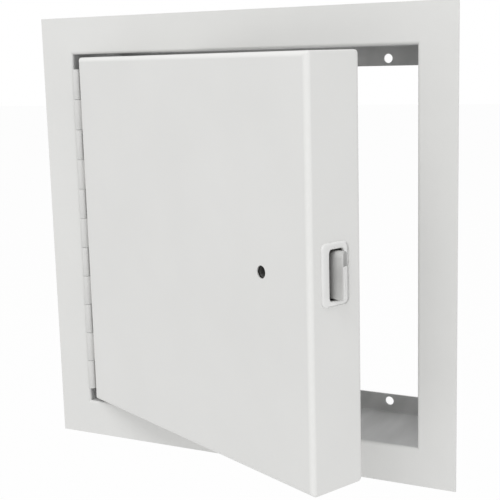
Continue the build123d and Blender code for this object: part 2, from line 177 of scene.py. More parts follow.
class AccessDoorKeySizes(bpy.types.PropertyGroup):
    """Sizes of the key spindle and of the release lever on its rear end."""

    backset: length("Backset", 0.0525, "Free edge to the spindle's axis")
    spindle: length("Spindle", 0.011, "Diameter of the spindle's head")
    front: length("Spindle front", 0.0024, "Spindle's end behind the leaf's face")
    socket: length("Socket", 0.008, "Hexagon socket across its flats")
    socket_depth: length("Socket depth", 0.009, "Depth of the hexagon socket")
    journal: length("Journal", 0.0075, "Diameter of the spindle's rear length")
    groove: length("Groove", 0.0062, "Diameter at the groove of the clip")
    crank_depth: length("Crank depth", 0.017, "Front of the crank behind the leaf's face")
    crank_sheet: length("Crank sheet", 0.004, "Thickness of the crank")
    crank_square: length("Crank square", 0.0076, "Square that carries the crank")
    stand_off: length("Lever stand-off", 0.0013, "Leaf's back to the release lever")
    lever_sheet: length("Lever sheet", 0.003, "Thickness of the lever")
    lever_length: length("Lever length", 0.044, "Spindle's axis to the lever's end")
    lever_width: length("Lever width", 0.012, "Width of the lever's arm")
    lever_hub: length("Lever hub", 0.018, "Diameter of the lever's hub")
    lever_bend: length("Lever bend", 0.005, "Outer radius of the lever's bend")
    lever_tab: length("Lever tab", 0.011, "Reach of the lever's bent finger tab")
    lever_square: length("Lever square", 0.0056, "Square that carries the lever")
    screw: length("Screw", 0.0039, "Diameter of the lever's screw")
    screw_length: length("Screw length", 0.008, "Length of the screw's shank")
    screw_head: length("Screw head", 0.008, "Diameter of the screw's head")
    screw_rise: length("Screw rise", 0.0024, "Height of the screw's head")
    screw_slot: length("Screw slot", 0.001, "Width and depth of the screw's slot")


class AccessDoorFinishes(bpy.types.PropertyGroup):
    """Colours of the finishes."""

    paint: colour("Paint", (0.735, 0.735, 0.722), "Baked primer on the flange and the leaf")
    jamb: colour("Jamb", (0.53, 0.532, 0.53), "Thin, duller coat on the jambs")
    # Painted shade of the rear returns, deep in the frame.
    shaded_return: colour("Return", (0.44, 0.442, 0.44), "Darker grey of the rear returns")
    bezel: colour("Bezel", (0.79, 0.79, 0.78), "Light enamel of the latch bezel")
    bolt: colour("Bolt", (0.54, 0.54, 0.53), "Cast metal of the bolt")
    # Rubbed metal of the slant, lightened to near white as a painted highlight.
    rubbed_and_highlit: colour("Rubbed metal", (0.92, 0.92, 0.91), "Bolt's slant, rubbed by the strike")
    zinc: colour("Galvanised sheet", (0.50, 0.51, 0.52), "Hinge plates and latch case")
    # Also the painted shade inside the bezel's mouth.
    dark: colour("Blackened steel", (0.17, 0.17, 0.166), "Key spindle")
    wool: colour("Mineral wool", (0.36, 0.30, 0.15), "Filling of the leaf")


class AccessDoorStage(bpy.types.PropertyGroup):
    """Camera, lights and floor."""

    camera_place: FloatVectorProperty(
        name="Camera", description="Where the camera stands", default=(0.4175, -0.7769, 0.1496),
        subtype="TRANSLATION", unit="LENGTH", size=3,
    )
    camera_turn: FloatVectorProperty(
        name="Camera turn", description="Yaw, pitch down and roll of the camera",
        default=(radians(27.573), radians(10.092), radians(-1.526)), subtype="EULER", size=3,
    )
    lens: FloatProperty(name="Lens", description="Focal length", default=78.08, unit="CAMERA")
    ambient: FloatProperty(name="Ambient", description="Level of the even room light", default=0.66)
    key_power: FloatProperty(
        name="Key light", description="Power of the upper softbox", default=100, unit="POWER"
    )
    fill_power: FloatProperty(
        name="Fill light", description="Power of the right softbox", default=4.2, unit="POWER"
    )
    floor_drop: length("Floor", 0.62, "How far the floor lies under the middle of the opening")


# Finishes

def feed(tree, target, inputs):
    """Give a shader node's inputs their values, or link them to what other nodes put out."""
    for key, value in dict(inputs).items():
        if isinstance(value, bpy.types.NodeSocket):
            tree.links.new(value, target.inputs[key])
        else:
            target.inputs[key].default_value = value


def node(tree, kind, inputs=(), **settings):
    """Add one shader node, with its values set and its links made."""
    made = tree.nodes.new(kind)
    for key, value in settings.items():
        setattr(made, key, value)
    feed(tree, made, inputs)
    return made


def start_finish(name, metallic=0.0, specular=0.5):
    """A new material's tree and its Object coordinates."""
    material = bpy.data.materials.new(name + "_finish")
    material.use_nodes = True
    tree = material.node_tree
    values = {"Metallic": metallic, "Specular IOR Level": specular}
    feed(tree, tree.nodes["Principled BSDF"], values)
    return tree, node(tree, "ShaderNodeTexCoord").outputs["Object"]


def end_finish(tree, tone, roughness, normal):
    """Give the material its colour, roughness and relief."""
    values = {"Base Color": tone, "Roughness": roughness, "Normal": normal}
    feed(tree, tree.nodes["Principled BSDF"], values)


def calculate(tree, operation, first, second):
    """Two numbers put together."""
    return node(tree, "ShaderNodeMath", {0: first, 1: second}, operation=operation).outputs[0]


def blend(tree, factor, first, second):
    """The first colour where the factor is 0, the second where it is 1."""
    inputs = {0: factor, 6: first, 7: second}
    return node(tree, "ShaderNodeMix", inputs, data_type="RGBA").outputs[2]


def noise(tree, place, scale, detail=2.0, stretch=None):
    """Noise at a number of cells per metre, stretched along an axis if asked."""
    if stretch:
        place = node(tree, "ShaderNodeMapping", {"Vector": place, "Scale": stretch}).outputs[0]
    inputs = {"Vector": place, "Scale": scale, "Detail": detail}
    return node(tree, "ShaderNodeTexNoise", inputs).outputs["Fac"]


def scaled(tone, factor):
    """A colour made darker or lighter."""
    return tuple(min(1.0, part * factor) for part in tone)


def shades(tree, factor, tone, dark, light, low=0.3, high=0.7):
    """A tone times dark to times light, as the factor goes from low to high."""
    ramp = node(tree, "ShaderNodeValToRGB", {"Fac": factor})
    for stop, position, share in zip(ramp.color_ramp.elements, (low, high), (dark, light)):
        stop.position = position
        stop.color = (*scaled(tone, share), 1)
    return ramp.outputs["Color"]


def spread(tree, factor, low, high, start=0.3, end=0.7):
    """A number from low to high as the factor goes from start to end."""
    inputs = {"Value": factor, "From Min": start, "From Max": end, "To Min": low, "To Max": high}
    return node(tree, "ShaderNodeMapRange", inputs).outputs["Result"]


def relief(tree, height, distance, below=None):
    """Bump of one height, on top of another bump if one is given."""
    inputs = {"Height": height, "Distance": distance, "Strength": 1.0}
    if below:
        inputs["Normal"] = below
    return node(tree, "ShaderNodeBump", inputs).outputs["Normal"]


def beyond(tree, place, normal, point, blur):
    """0 to 1 over a short way up to the plane through a point, along its normal."""
    inputs = {0: place, 1: normal}
    along = node(tree, "ShaderNodeVectorMath", inputs, operation="DOT_PRODUCT").outputs["Value"]
    level = normal.dot(point)
    return spread(tree, along, 0.0, 1.0, level - blur, level)


def fold_highlight(tree, place):
    """Painted highlight along the folded front edges of the leaf's face: 1 there, 0 on its flat."""
    low, high = leaf_box("face_pan")
    middle_z = (low.z + high.z) / 2
    # The painted highlight fades inwards as a round of this radius would: its crest lies 0.414 of
    # the radius inside the sharp edge, and its ends lie 0.293 of it behind the crest.
    radius = 0.004
    highlit_folds = 0.0
    for out, point in (
        ((1, -1, 0), (high.x, 0, middle_z)),
        ((0, -1, 1), (high.x / 2, 0, high.z)),
        ((0, -1, -1), (high.x / 2, 0, low.z)),
    ):
        normal = LEAF_PLACE.to_3x3() @ Vector(out).normalized()
        crest = LEAF_PLACE @ Vector(point) - normal * 0.414 * radius
        edge = beyond(tree, place, normal, crest, 0.293 * radius)
        highlit_folds = calculate(tree, "MAXIMUM", highlit_folds, edge)
    return highlit_folds


def clouded(tree, place, tone):
    """Paint of one tone with a faint cloudiness."""
    return shades(tree, noise(tree, place, 14, 3), tone, 0.985, 1.012)


def paint_finish(name, tone, highlit_folds=False):
    """Baked paint: orange peel, the slow waves of thin sheet, and on the leaf a painted highlight
    that lightens the folds.
    """
    tree, place = start_finish(name)
    paint = clouded(tree, place, tone)
    fine = noise(tree, place, 900)
    if highlit_folds:
        # Painted highlight: the paint is made lighter along the leaf's folded edges, where the
        # bends catch the light.
        patchy = spread(tree, noise(tree, place, 120, 3), 0.75, 1.0)
        share = calculate(tree, "MULTIPLY", fold_highlight(tree, place), patchy)
        paint = blend(tree, share, paint, (*scaled(tone, 1.1), 1))
    waves = relief(tree, noise(tree, place, 7, 0), 0.0006)
    end_finish(tree, paint, spread(tree, fine, 0.42, 0.52), relief(tree, fine, 0.00003, waves))


def frame_finish(name, tone, jamb_tone, shaded_return_tone):
    """Paint on the flange, a thin and duller coat on the jamb, and a darker grey on the rear return
    that is painted shade.
    """
    tree, place = start_finish(name)
    depth = node(tree, "ShaderNodeSeparateXYZ", {"Vector": place}).outputs["Y"]
    fine = noise(tree, place, 900)
    streak = noise(tree, place, 60, 3, (1.0, 0.25, 1.0))
    jamb = shades(tree, streak, jamb_tone, 0.92, 1.08)
    # Painted shade: the rear return, deep in the frame's box, gets a darker grey than the jamb.
    rear = shades(tree, streak, shaded_return_tone, 0.9, 1.1)
    on_shaded_return = spread(tree, depth, 0.0, 1.0, FRAME_BACK - 0.0035, FRAME_BACK - 0.0016)
    inside = spread(tree, depth, 0.0, 1.0, FLANGE_FACE + 0.0006, FLANGE_FACE + 0.0024)
    mixed = blend(tree, inside, clouded(tree, place, tone), blend(tree, on_shaded_return, jamb, rear))
    end_finish(tree, mixed, spread(tree, fine, 0.44, 0.56), relief(tree, fine, 0.00003))


def galvanised_finish(name, tone):
    """Zinc coating: flat crystals of slightly different greys, dull."""
    tree, place = start_finish(name, metallic=0.85)
    inputs = {"Vector": place, "Scale": 260, "Randomness": 1.0}
    cells = node(tree, "ShaderNodeTexVoronoi", inputs).outputs["Color"]
    grey = node(tree, "ShaderNodeRGBToBW", {"Color": cells}).outputs[0]
    zinc = shades(tree, grey, tone, 0.82, 1.12, 0.2, 0.8)
    dull = spread(tree, grey, 0.36, 0.52, 0.2, 0.8)
    end_finish(tree, zinc, dull, relief(tree, noise(tree, place, 500), 0.00002))


def metal_finish(name, tone, rough, stretch=None, grain=700, bump=0.00003, metallic=0.9):
    """Bare or plated metal with a grain, drawn along one axis if stretched."""
    tree, place = start_finish(name, metallic=metallic)
    metal = shades(tree, noise(tree, place, 45, 3), tone, 0.88, 1.1)
    fine = noise(tree, place, grain, 3, stretch)
    end_finish(tree, metal, spread(tree, fine, *rough), relief(tree, fine, bump))


def bolt_finish(name, tone, rubbed_highlight_tone):
    """Dull cast metal with painted shade on the ear, and a slant rubbed by the strike and lightened
    as a painted highlight.
    """
    tree, place = start_finish(name, metallic=0.25)
    latch = bpy.context.scene.door_latch
    tip, start = bolt_slant(latch, latch.bolt_tip)
    normal = LEAF_PLACE.to_3x3() @ slant_normal(tip, start).to_3d()
    on_slant = beyond(tree, place, normal, LEAF_PLACE @ tip.to_3d(), 0.0003)
    height = node(tree, "ShaderNodeSeparateXYZ", {"Vector": place}).outputs["Z"]
    ear_low = latch.rise + latch.bolt_height / 2 - latch.ear_height
    below_ear = spread(tree, height, 1.0, 0.0, ear_low - 0.0006, ear_low)
    # The slant below the ear is partly real rubbing and partly a painted highlight: a near-white
    # tone and lower roughness.
    rubbed_and_highlit = calculate(tree, "MULTIPLY", on_slant, below_ear)
    on_ear = calculate(tree, "SUBTRACT", on_slant, rubbed_and_highlit)
    coarse = noise(tree, place, 45, 3)
    fine = noise(tree, place, 500, 3)
    streak = noise(tree, place, 900, 3, (0.15, 0.15, 1.0))
    bare = shades(tree, coarse, tone, 0.92, 1.08)
    # Painted shade: the bolt's top ear is given a darker tone than the rest of the bolt.
    ear_shade = shades(tree, coarse, tone, 0.56, 0.68)
    bright = shades(tree, streak, rubbed_highlight_tone, 0.95, 1.03)
    metal = blend(tree, rubbed_and_highlit, blend(tree, on_ear, bare, ear_shade), bright)
    dull = spread(tree, fine, 0.45, 0.58)
    rough = node(tree, "ShaderNodeMix", {0: rubbed_and_highlit, 2: dull, 3: 0.3}).outputs[0]
    end_finish(tree, metal, rough, relief(tree, fine, 0.00004))


def bezel_finish(name, tone, mouth_shade_tone):
    """Smooth light enamel outside, and a dark painted shade inside the mouth."""
    tree, place = start_finish(name)
    surface = edge_place(bpy.context.scene.door_latch)
    outside = beyond(tree, place, surface.to_3x3().col[2], surface.translation, 0.001)
    fine = noise(tree, place, 900)
    # Painted shade: inside the mouth the enamel gives way to a dark tone.
    bare = shades(tree, fine, mouth_shade_tone, 0.8, 1.2)
    enamel = shades(tree, noise(tree, place, 60, 3), tone, 0.975, 1.012)
    mixed = blend(tree, outside, bare, enamel)
    end_finish(tree, mixed, spread(tree, fine, 0.3, 0.4), relief(tree, fine, 0.00001))


def wool_finish(name, tone):
    """Pressed mineral wool: short crossing fibres with darker pockets."""
    tree, place = start_finish(name, specular=0.1)
    across = noise(tree, place, 260, 5, (1.0, 4.0, 0.35))
    along = noise(tree, place, 260, 5, (0.3, 4.0, 1.0))
    fibre = calculate(tree, "MAXIMUM", across, along)
    wool = shades(tree, fibre, tone, 0.45, 1.35, 0.4, 0.7)
    end_finish(tree, wool, 0.95, relief(tree, fibre, 0.0006))


def make_finishes():
    """Every finish of the door: those of the record's slots, and the hinge's paint, darkened as
    painted shade.
    """
    tones = bpy.context.scene.door_finishes
    frame_finish("frame_paint", tones.paint, tones.jamb, tones.shaded_return)
    # The leaf's paint has a painted highlight along its folds.
    paint_finish("leaf_paint", tones.paint, highlit_folds=True)
    # Painted shade: the hinge has the leaf's paint, made darker for the gap it stands in.
    paint_finish("hinge_paint", scaled(tones.paint, 0.9))
    # The bezel's mouth takes the spindle's dark tone as painted shade.
    bezel_finish("bezel_enamel", tones.bezel, tones.dark)
    galvanised_finish("galvanised_steel", tones.zinc)
    metal_finish("bright_steel", (0.6, 0.6, 0.6), (0.25, 0.4), (1.0, 1.0, 0.05))
    bolt_finish("bolt_metal", tones.bolt, tones.rubbed_and_highlit)
    metal_finish("blackened_steel", tones.dark, (0.4, 0.6), grain=600, metallic=0.5)
    metal_finish("zinc_plated_steel", (0.62, 0.63, 0.65), (0.28, 0.42), grain=300)
    metal_finish("spring_steel", (0.4, 0.4, 0.41), (0.3, 0.45))
    metal_finish("bronze", (0.52, 0.34, 0.15), (0.45, 0.65), grain=1600, bump=0.00008)
    wool_finish("mineral_wool", tones.wool)


def coat(piece, name):
    """Give a piece one finish and no other."""
    if name + "_finish" not in bpy.data.materials:
        make_finishes()
    piece.data.materials.clear()
    piece.data.materials.append(bpy.data.materials[name + "_finish"])


def coat_nodes(name, *nodes):
    """Give loaded pieces one finish."""
    for piece in nodes:
        coat(frame["nodes"][piece], name)


# Modelling with Blender's own tools

def choose(piece):
    """Make one piece the only selected one and the active one."""
    bpy.ops.object.select_all(action="DESELECT")
    piece.select_set(True)
    bpy.context.view_layer.objects.active = piece


def start_piece(name, add_primitive, stretch=(1, 1, 1), **settings):
    """Add one primitive at its size and place, with nothing else selected."""
    bpy.ops.object.select_all(action="DESELECT")
    add_primitive(**settings)
    piece = bpy.context.object
    piece.name = piece.data.name = name
    piece.scale = stretch
    bpy.ops.object.transform_apply(location=True, rotation=True, scale=True)
    return piece


def start_block(name, low, high):
    """A block between two corners."""
    low, high = Vector(low), Vector(high)
    return start_piece(
        name, bpy.ops.mesh.primitive_cube_add, high - low, size=1, location=(low + high) / 2
    )


def start_rod(name, radius, start, end, sides=48, along="Y"):
    """A rod between two points, along Y or Z."""
    start, end = Vector(start), Vector(end)
    turn = {"Y": (pi / 2, 0, 0), "Z": (0, 0, 0)}[along]
    return start_piece(
        name, bpy.ops.mesh.primitive_cylinder_add, vertices=sides, radius=radius,
        depth=(end - start).length, location=(start + end) / 2, rotation=turn,
    )


def pick_all():
    """Select the whole mesh in edit mode."""
    bpy.ops.mesh.select_all(action="SELECT")


def edit():
    """Go into edit mode with the whole mesh selected."""
    bpy.ops.object.mode_set(mode="EDIT")
    pick_all()


def leave():
    """Close edit mode."""
    bpy.ops.object.mode_set(mode="OBJECT")


def pick(mode, test):
    """Select the faces, edges or vertices that pass the test, and nothing else."""
    bpy.ops.mesh.select_mode(type={"faces": "FACE", "edges": "EDGE", "verts": "VERT"}[mode])
    bpy.ops.mesh.select_all(action="DESELECT")
    mesh = bmesh.from_edit_mesh(bpy.context.object.data)
    for part in getattr(mesh, mode):
        part.select = bool(test(part))
    mesh.select_flush_mode()
    bmesh.update_edit_mesh(bpy.context.object.data)


def middle(part):
    """Middle of a face or an edge."""
    return sum((corner.co for corner in part.verts), Vector()) / len(part.verts)


def runs_along(line, axis):
    """Whether an edge runs along X, Y or Z, given as 0, 1 or 2."""
    return abs((line.verts[1].co - line.verts[0].co).normalized()[axis]) > 0.99


def extrude(*move):
    """Extrude what is selected and move it."""
    bpy.ops.mesh.extrude_region_move(TRANSFORM_OT_translate={"value": move})


def cut_round(point, normal):
    """Add the edges along which a plane crosses the mesh."""
    pick_all()
    bpy.ops.mesh.bisect(plane_co=point, plane_no=normal)


def modify(piece, kind, **settings):
    """Add a modifier and apply it."""
    choose(piece)
    modifier = piece.modifiers.new(kind.title(), kind)
    for key, value in settings.items():
        setattr(modifier, key, value)
    bpy.ops.object.modifier_apply(modifier=modifier.name)


def combine(piece, other, operation="DIFFERENCE"):
    """Cut the other piece away, or join it on, and delete it."""
    modify(piece, "BOOLEAN", object=other, operation=operation, solver="EXACT")
    bpy.data.objects.remove(other)


def smooth(angle):
    """Smooth the shading of the active piece where its faces meet at less than an angle."""
    bpy.ops.object.shade_smooth_by_angle(angle=radians(angle))


def soften(piece, width, segments=2, angle=40):
    """Round the sharp edges and smooth the shading."""
    modify(piece, "BEVEL", width=width, segments=segments, limit_method="ANGLE",
           angle_limit=radians(angle), harden_normals=False)
    smooth(angle)


def settle(piece, place, body, slot, *replaced):
    """Put a finished piece at its place in the door, with its finish, on its body."""
    choose(piece)
    piece.matrix_world = place
    bpy.ops.object.transform_apply(location=True, rotation=True, scale=True)
    edit()
    bpy.ops.mesh.remove_doubles(threshold=MERGE)
    bpy.ops.mesh.normals_make_consistent(inside=False)
    leave()
    coat(piece, slot)
    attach(piece, body)
    if replaced:
        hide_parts(*replaced)


class DoorOperator(bpy.types.Operator):
    """What the door's operators share."""

    bl_options = {"REGISTER", "UNDO"}


class ACCESS_DOOR_OT_stage(DoorOperator):
    """Add the floor, the even room light, two softboxes and the camera"""

    bl_idname = "access_door.stage"
    bl_label = "Stage"

    def execute(self, context):
        stage = context.scene.door_stage
        self.make_camera(context, stage)
        self.make_world(context, stage)
        self.make_floor(stage)
        for name, (place, size) in SOFTBOXES.items():
            power = getattr(stage, f"{name}_power")
            self.make_softbox(context, f"{name}_softbox", place, size, power)
        context.scene.view_settings.view_transform = "Standard"
        return {"FINISHED"}

    def make_camera(self, context, stage):
        yaw, pitch, roll = stage.camera_turn
        ahead = Vector((-sin(yaw) * cos(pitch), cos(yaw) * cos(pitch), -sin(pitch)))
        right = Vector((cos(yaw), sin(yaw), 0))
        up = right.cross(ahead)
        rolled_right = right * cos(roll) + up * sin(roll)
        rolled_up = up * cos(roll) - right * sin(roll)
        turn = Matrix((rolled_right, rolled_up, -ahead)).transposed().to_4x4()
        data = bpy.data.cameras.new("photo_camera")
        data.lens = stage.lens
        data.sensor_width = 36
        camera = bpy.data.objects.new("photo_camera", data)
        camera.matrix_world = Matrix.Translation(stage.camera_place) @ turn
        context.collection.objects.link(camera)
        context.scene.camera = camera

    def make_world(self, context, stage):
        world = bpy.data.worlds.new("white_room")
        context.scene.world = world
        world.use_nodes = True
        tree = world.node_tree
        tree.nodes.clear()
        seen = self.seen_directly(tree)
        room = node(tree, "ShaderNodeBackground", {"Color": WHITE, "Strength": stage.ambient})
        white = node(tree, "ShaderNodeBackground", {"Color": WHITE, "Strength": 1.0})
        mix = node(tree, "ShaderNodeMixShader", {0: seen, 1: room.outputs[0], 2: white.outputs[0]})
        node(tree, "ShaderNodeOutputWorld", {"Surface": mix.outputs[0]})

    def seen_directly(self, tree):
        """1 for what the camera sees, also in metal and through glass."""
        path = node(tree, "ShaderNodeLightPath").outputs
        either = calculate(tree, "MAXIMUM", path["Is Camera Ray"], path["Is Glossy Ray"])
        return calculate(tree, "MAXIMUM", either, path["Is Transmission Ray"])

    def make_floor(self, stage):
        """A wide matt floor that the camera sees as almost even white."""
        side, evenness = 30, 0.95
        floor = start_piece(
            "floor", bpy.ops.mesh.primitive_plane_add, size=side,
            location=(0, 0, -stage.floor_drop),
        )
        material = bpy.data.materials.new("pale_floor")
        material.use_nodes = True
        tree = material.node_tree
        tree.nodes.clear()
        speckle = noise(tree, node(tree, "ShaderNodeTexCoord").outputs["Object"], 40, 3)
        tone = shades(tree, speckle, WHITE[:3], 0.91, 0.93)
        matt = node(tree, "ShaderNodeBsdfDiffuse", {"Color": tone})
        white = node(tree, "ShaderNodeEmission", {"Color": WHITE, "Strength": 1.0})
        share = calculate(tree, "MULTIPLY", self.seen_directly(tree), evenness)
        mix = node(tree, "ShaderNodeMixShader", {0: share, 1: matt.outputs[0], 2: white.outputs[0]})
        node(tree, "ShaderNodeOutputMaterial", {"Surface": mix.outputs[0]})
        floor.data.materials.append(material)

    def make_softbox(self, context, name, place, size, power):
        data = bpy.data.lights.new(name, "AREA")
        data.shape = "SQUARE"
        data.size = size
        data.energy = power
        softbox = bpy.data.objects.new(name, data)
        turn = Vector(place).to_track_quat("Z", "Y").to_matrix().to_4x4()
        softbox.matrix_world = Matrix.Translation(place) @ turn
        context.collection.objects.link(softbox)


class ACCESS_DOOR_OT_frame(DoorOperator):
    """Paint the four frame members and the strike plate, and add the corner welds"""

    bl_idname = "access_door.frame"
    bl_label = "Frame"

    def execute(self, context):
        coat_nodes(
            "frame_paint", "frame_head", "frame_sill", "frame_hinge_jamb", "frame_latch_jamb"
        )
        coat_nodes("galvanised_steel", "strike_plate")
        self.weld_corners(context)
        return {"FINISHED"}

    def weld_corners(self, context):
        """A rippled bead along the outside of each jamb corner, from one shared shape."""
        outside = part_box("strike_plate")[0].x
        radius, inset, ripples = 0.0016, 0.006, 44
        start, end = inset, FRAME_BACK - inset
        spacing = (end - start) / ripples
        bead = start_rod("corner_weld", radius, (0, start, 0), (0, end, 0), 16)
        edit()
        for step in range(1, ripples):
            cut_round((0, start + spacing * step, 0), (0, 1, 0))

        def ring(corner):
            return round((corner.co.y - start) / spacing)

        for share, chosen in (
            (0.82, lambda corner: 0 < ring(corner) < ripples and ring(corner) % 2),
            (0.5, lambda corner: ring(corner) in (0, ripples)),
        ):
            pick("verts", chosen)
            bpy.ops.transform.resize(value=(share, 1, share), center_override=(0, 0, 0))
        leave()
        smooth(60)
        corners = [(x, z) for x in (-outside, outside) for z in (-outside, outside)]
        for number, (x, z) in enumerate(corners, 1):
            weld = bpy.data.objects.new(f"corner_weld_{number}", bead.data.copy())
            context.collection.objects.link(weld)
            settle(weld, Matrix.Translation((x, 0, z)), "frame", "frame_paint")
        bpy.data.objects.remove(bead)


class ACCESS_DOOR_OT_hinge(DoorOperator):
    """Roll the knuckles of both hinge plates and round the pin's ends"""

    bl_idname = "access_door.hinge"
    bl_label = "Continuous hinge"

    def execute(self, context):
        hinge = context.scene.door_hinge
        frame_plate = self.roll_plate(hinge, "rolled_hinge_frame_plate", -1, 0)
        settle(frame_plate, HINGE_PLACE, "frame", "frame_paint", "hinge_frame_plate")
        leaf_plate = self.roll_plate(hinge, "rolled_hinge_leaf_plate", 1, 1)
        settle(leaf_plate, LEAF_PLACE, "leaf", "leaf_paint", "hinge_leaf_plate")
        # Painted shade: both hinge plates take the darker copy of the paint.
        for plate in (frame_plate, leaf_plate):
            coat(plate, "hinge_paint")
        self.make_pin(hinge)
        return {"FINISHED"}

    def roll_plate(self, hinge, name, side, first):
        """One plate whose own knuckles are curled round the pin from the sheet itself."""
        curl, curl_steps = radians(302), 26
        half = HINGE_LENGTH / 2
        near, far = sorted(
            side * radius for radius in (hinge.barrel_radius - hinge.sheet, hinge.barrel_radius)
        )
        plate = start_block(name, (near, hinge.notch, -half), (far, hinge.plate_width, half))
        edit()
        own = range(first, hinge.count, 2)
        for knuckle in own:
            low = knuckle * hinge.pitch - half + hinge.gap / 2
            for level in (low, low + hinge.pitch - hinge.gap):
                cut_round((0, 0, level), (0, 0, 1))

        def own_front(face):
            number = int((middle(face).z + half) / hinge.pitch)
            wide = max(v.co.z for v in face.verts) - min(v.co.z for v in face.verts)
            return face.normal.y < -0.9 and number in own and wide > hinge.pitch / 2

        pick("faces", own_front)
        extrude(0, -hinge.notch, 0)
        bpy.ops.mesh.spin(steps=curl_steps, angle=curl * side, center=(0, 0, 0), axis=(0, 0, 1))
        leave()
        soften(plate, 0.00018)
        return plate

    def make_pin(self, hinge):
        """The pin, with each end crowned by three rings that rise towards the middle."""
        rings = ((0.00025, 0.0003), (0.0004, 0.00015), (0.0004, 0.00005))
        half = HINGE_LENGTH / 2 - sum(rise for _, rise in rings)
        pin = start_rod(
            "crowned_hinge_pin", hinge.pin_diameter / 2, (0, 0, -half), (0, 0, half), 40, "Z"
        )
        edit()
        for end in (-1, 1):
            for inset, rise in rings:
                pick("faces", lambda face: face.normal.z * end > 0.99)
                bpy.ops.mesh.inset(thickness=inset, depth=rise)
        leave()
        smooth(60)
        settle(pin, HINGE_PLACE, "frame", "bright_steel", "hinge_pin")


class ACCESS_DOOR_OT_leaf(DoorOperator):
    """Paint the two pans of the leaf and model the wool slab between them"""

    bl_idname = "access_door.leaf"
    bl_label = "Leaf"

    def execute(self, context):
        coat_nodes("leaf_paint", "face_pan", "back_pan")
        self.make_slab(context)
        return {"FINISHED"}

    def make_slab(self, context):
        """The wool slab: a merged copy of its solid, remeshed and roughened inwards."""
        merge, voxel, tuft_size, tuft_depth = 0.00001, 0.0025, 0.006, 0.0009
        slab = frame["nodes"]["insulation_core"].copy()
        slab.data = slab.data.copy()
        slab.name = slab.data.name = "mineral_wool_slab"
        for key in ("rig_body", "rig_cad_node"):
            if key in slab:
                del slab[key]
        slab.parent = None
        slab.matrix_world = Matrix.Identity(4)
        context.collection.objects.link(slab)
        choose(slab)
        edit()
        bpy.ops.mesh.remove_doubles(threshold=merge)
        leave()
        modify(slab, "REMESH", mode="VOXEL", voxel_size=voxel)
        tufts = bpy.data.textures.new("wool_tufts", "CLOUDS")
        tufts.noise_scale = tuft_size
        modify(slab, "DISPLACE", texture=tufts, strength=tuft_depth, mid_level=1.0)
        settle(slab, Matrix.Identity(4), "leaf", "mineral_wool", "insulation_core")


def edge_at_latch(latch):
    """Distance of the leaning free edge from the hinge axis, at the latch's depth."""
    return latch.leaf_far - latch.edge_bevel * latch.depth / latch.leaf_thick


def edge_place(latch):
    """Place of the bezel: X through the leaf's depth, Y up, Z out of the free edge."""
    lean = atan(latch.edge_bevel / latch.leaf_thick)
    along = Vector((-sin(lean), cos(lean), 0))
    out = Vector((cos(lean), sin(lean), 0))
    turn = Matrix((along, Vector((0, 0, 1)), out)).transposed().to_4x4()
    return LEAF_PLACE @ Matrix.Translation((edge_at_latch(latch), latch.depth, latch.rise)) @ turn


def bolt_end(latch):
    """Outer end of the bolt and its rear side, as X and Y in leaf coordinates."""
    end = edge_at_latch(latch) + latch.bezel_proud + latch.bolt_throw
    return Vector((end, latch.depth + latch.mouth_width / 2 - latch.bolt_clearance))


def bolt_slant(latch, tip_flat):
    """The slant's ends in leaf coordinates: at the bolt's tip and next to the bezel."""
    end, back = bolt_end(latch)
    tip = Vector((end, back - latch.bolt_thick + tip_flat))
    return tip, Vector((edge_at_latch(latch) + 2 * latch.bezel_proud, back))


def slant_normal(tip, start):
    """Direction that the slant faces."""
    run = tip - start
    across = Vector((-run.y, run.x)).normalized()
    return across if across.x > 0 else -across


class ACCESS_DOOR_OT_bezel(DoorOperator):
    """Mould the rounded bezel and its collar round the bolt's mouth"""

    bl_idname = "access_door.bezel"
    bl_label = "Latch bezel"

    def execute(self, context):
        latch = context.scene.door_latch
        shift = Vector((-latch.bezel_forward, latch.bezel_up, 0))
        outer = (latch.bezel_width, latch.bezel_height)
        mouth = (latch.mouth_width, latch.mouth_height)
        bezel = start_piece(
            "moulded_latch_bezel", bpy.ops.mesh.primitive_plane_add, (*outer, 1),
            size=1, location=shift,
        )
        edit()
        bpy.ops.mesh.bevel(
            offset=latch.bezel_corner, segments=6, affect="VERTICES", offset_type="OFFSET"
        )
        pick_all()
        bpy.ops.mesh.delete(type="ONLY_FACE")
        bpy.ops.mesh.select_mode(type="EDGE")
        pick_all()
        proud, deep, wall = latch.bezel_proud, -latch.collar_depth, 2 * latch.collar_wall
        # One loop after another: which outline, how much wider it is, and its height
        loops = (
            (outer, 0, 0.45 * proud), (outer, -0.0003, 0.75 * proud),
            (outer, -0.0009, 0.93 * proud), (outer, -0.0018, proud),
            (mouth, 0.0022, proud), (mouth, 0.0012, 0.94 * proud),
            (mouth, 0.0004, 0.75 * proud), (mouth, 0, 0.45 * proud),
            (mouth, 0, deep), (mouth, wall, deep), (mouth, wall, 0.0),
        )
        size, level, centre = outer, 0.0, shift
        for outline, wider, height in loops:
            self.extrude_loop((0, 0, height - level))
            new_size = [side + wider for side in outline]
            ratios = [new / old for new, old in zip(new_size, size)]
            bpy.ops.transform.resize(value=(*ratios, 1), center_override=centre)
            if outline is outer and height == proud:
                self.extrude_loop((0, 0, 0))
                bpy.ops.transform.translate(value=-shift)
                centre = Vector()
            size, level = new_size, height
        pick("edges", lambda line: line.is_boundary)
        bpy.ops.mesh.bridge_edge_loops()
        leave()
        smooth(40)
        settle(bezel, edge_place(latch), "leaf", "bezel_enamel", "latch_bezel")
        return {"FINISHED"}

    def extrude_loop(self, move):
        bpy.ops.mesh.extrude_edges_move(TRANSFORM_OT_translate={"value": move})


